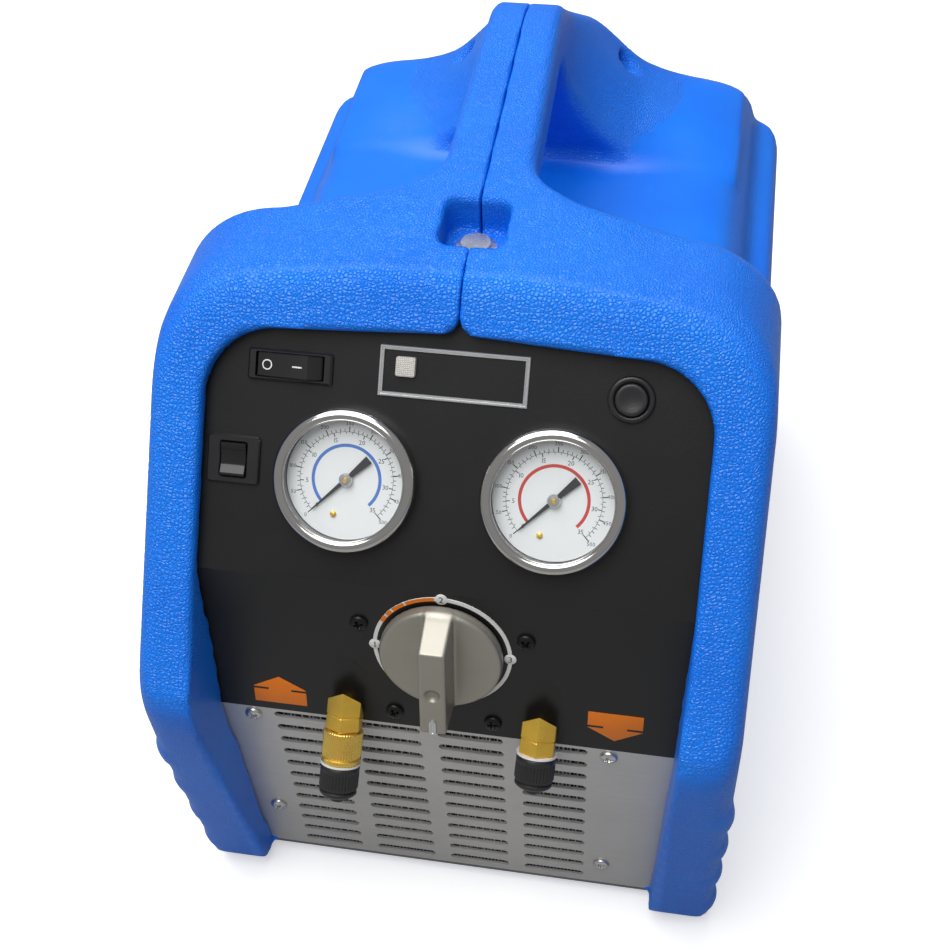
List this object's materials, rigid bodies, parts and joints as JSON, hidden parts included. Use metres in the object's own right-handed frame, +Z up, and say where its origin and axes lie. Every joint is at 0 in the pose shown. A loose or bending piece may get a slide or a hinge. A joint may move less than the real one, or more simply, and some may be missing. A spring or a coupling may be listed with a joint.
{
  "type": "refrigerant recovery machine",
  "caption": "Portable refrigerant recovery machine: moulded casing with carry handle, black control panel with pressure gauges, mode knob and capped flare ports, slotted grille.",
  "frame": {"origin": "on the ground under the middle of the machine's outline", "axes": "+Z up, -Y towards the user at the control panel, +X to that user's right"},
  "size_m": [0.25, 0.4001, 0.33],
  "materials": {
    "casing_blue": "pebble-grained moulded plastic",
    "panel_black": "satin black paint",
    "grille_silver": "satin silver paint",
    "dark_paint": "satin dark paint",
    "base_grey": "grey paint",
    "foot_rubber": "matt",
    "bolt_steel": "zinc-plated",
    "black_steel": "black oxide",
    "chrome": "polished",
    "dial_white": "matt print",
    "needle_black": "matt",
    "clear_lens": "clear",
    "black_plastic": "satin",
    "button_grey": "glossy",
    "frosted_lens": "frosted",
    "white_print": "printed",
    "knob_silver": "silver paint",
    "brass": "turned",
    "nylon_white": "satin",
    "cap_black": "satin",
    "copper": "drawn copper",
    "fin_aluminium": "mill finish",
    "cast_aluminium": "cast",
    "fan_white": "satin",
    "core_iron": "lacquered laminations",
    "shaft_steel": "ground",
    "piston_plastic": "filled fluoropolymer"
  },
  "bodies": {
    "casing": {"casing_left": "casing_blue", "casing_right": "casing_blue", "handle_bolt": "bolt_steel", "handle_washer": "bolt_steel", "pillar_bolt": "bolt_steel", "control_panel": "panel_black", "lower_grille": "grille_silver", "rear_panel": "dark_paint", "base_plate": "base_grey", "rubber_feet": "foot_rubber", "panel_screws": "black_steel", "grille_screws": "bolt_steel", "switch_frame": "black_plastic", "indicator_frame": "white_print", "indicator_lens": "frosted_lens", "start_bezel": "black_plastic", "breaker_body": "black_plastic", "index_ring": "white_print", "valve_block": "brass", "inlet_fitting": "brass", "outlet_fitting": "brass", "outlet_seal": "nylon_white", "condenser_core": "fin_aluminium", "condenser_tubes": "copper", "fan_shroud": "dark_paint", "motor_housing": "cast_aluminium", "motor_cradle": "dark_paint", "stator": "core_iron", "motor_bearings": "shaft_steel", "crankcase": "cast_aluminium", "cylinders": "cast_aluminium", "cylinder_heads": "cast_aluminium", "pistons": "piston_plastic", "refrigerant_pipes": "copper", "gauge_pipes": "copper", "pressure_switch": "dark_paint", "run_capacitor": "black_plastic", "power_inlet": "black_plastic", "low_gauge_case": "black_steel", "low_gauge_bezel": "chrome", "low_gauge_dial": "dial_white", "low_gauge_lens": "clear_lens", "high_gauge_case": "black_steel", "high_gauge_bezel": "chrome", "high_gauge_dial": "dial_white", "high_gauge_lens": "clear_lens"},
    "rocker": {"switch_rocker": "black_plastic"},
    "start_button": {"start_button": "black_plastic"},
    "breaker_button": {"breaker_button": "button_grey"},
    "low_needle": {"low_gauge_needle": "needle_black"},
    "high_needle": {"high_gauge_needle": "needle_black"},
    "knob": {"mode_knob": "knob_silver", "valve_stem": "brass"},
    "rotor": {"drive_shaft": "shaft_steel", "rotor_core": "core_iron", "cooling_fan": "fan_white"},
    "inlet_coupling": {"inlet_coupling": "brass", "inlet_seal": "nylon_white"},
    "inlet_cap": {"inlet_cap": "cap_black"},
    "outlet_cap": {"outlet_cap": "cap_black"}
  },
  "joints": [
    {"name": "power_rocker", "type": "hinge", "parent": "casing", "child": "rocker", "pos_m": [-0.0665, -0.10257, 0.27519], "axis": [0, 0.6143, 0.7891], "range_deg": [0, 20]},
    {"name": "start_press", "type": "slide", "parent": "casing", "child": "start_button", "axis": [0, 0.7891, -0.6143], "range_m": [0, 0.003], "stiffness_N_per_m": 400},
    {"name": "breaker_pop", "type": "slide", "parent": "casing", "child": "breaker_button", "axis": [0, -0.7891, 0.6143], "range_m": [0, 0.003]},
    {"name": "low_pressure_needle", "type": "hinge", "parent": "casing", "child": "low_needle", "pos_m": [-0.0414, -0.13044, 0.24264], "axis": [0, 0.7891, -0.6143], "range_deg": [0, 270], "stiffness_Nm_per_rad": 0.0002},
    {"name": "high_pressure_needle", "type": "hinge", "parent": "casing", "child": "high_needle", "pos_m": [0.0414, -0.13044, 0.24264], "axis": [0, 0.7891, -0.6143], "range_deg": [0, 270], "stiffness_Nm_per_rad": 0.0002},
    {"name": "mode_turn", "type": "hinge", "parent": "casing", "child": "knob", "pos_m": [0, -0.16143, 0.17914], "axis": [0, 0.9857, -0.1685], "range_deg": [0, 270]},
    {"name": "shaft_spin", "type": "hinge", "parent": "casing", "child": "rotor", "pos_m": [0, -0.05, 0.0675], "axis": [0, 1, 0], "continuous": true},
    {"name": "coupling_turn", "type": "hinge", "parent": "casing", "child": "inlet_coupling", "pos_m": [-0.0415, -0.16644, 0.14986], "axis": [-0.0349, -0.5874, -0.8085], "continuous": true},
    {"name": "inlet_cap_off", "type": "slide", "parent": "inlet_coupling", "child": "inlet_cap", "axis": [-0.0349, -0.5874, -0.8085], "range_m": [0, 0.02]},
    {"name": "outlet_cap_off", "type": "slide", "parent": "casing", "child": "outlet_cap", "axis": [-0.0349, -0.5874, -0.8085], "range_m": [0, 0.02]}
  ]
}
